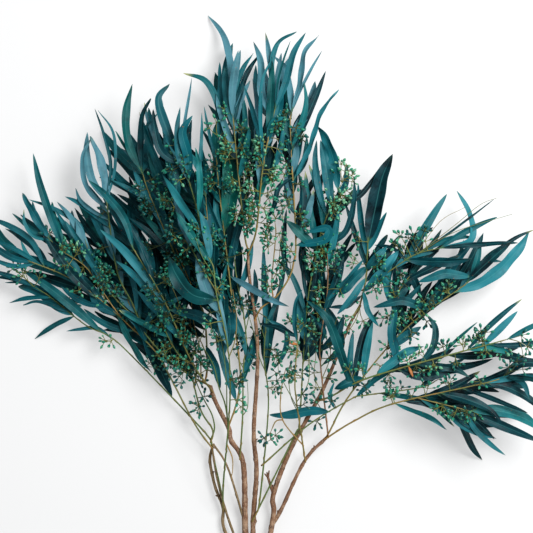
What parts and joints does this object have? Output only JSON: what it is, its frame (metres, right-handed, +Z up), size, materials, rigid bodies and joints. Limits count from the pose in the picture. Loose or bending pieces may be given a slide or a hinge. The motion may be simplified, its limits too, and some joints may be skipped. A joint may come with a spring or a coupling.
{
  "type": "eucalyptus branch",
  "caption": "Cut branch of seeded willow eucalyptus with long narrow leaves and small bud clusters, lying flat and spread out.",
  "frame": {"origin": "on the surface that the branch lies on, in the middle of its footprint", "axes": "+Z up, away from the surface; +Y along the branch, from its cut end to its tips; +X to its right seen from above"},
  "size_m": [0.7239, 0.791, 0.1087],
  "materials": {
    "bark": "matte",
    "foliage": "satin"
  },
  "bodies": {
    "root": {"spray_centre": "foliage", "spray_centre_left": "foliage", "spray_centre_right": "foliage", "spray_crossing_low": "foliage", "spray_e_buds": "foliage", "spray_far_left_low": "foliage", "spray_far_left_mid": "foliage", "spray_fork_left": "foliage", "spray_green_low": "foliage", "spray_inner_olive": "foliage", "spray_left_inner": "foliage", "spray_left_mass": "foliage", "spray_left_tall": "foliage", "spray_left_upper": "foliage", "spray_right_far": "foliage", "spray_right_inner": "foliage", "spray_right_low": "foliage", "spray_right_middle": "foliage", "spray_top_left": "foliage", "spray_top_middle": "foliage", "spray_top_right": "foliage", "woody_stems": "bark"}
  },
  "joints": []
}
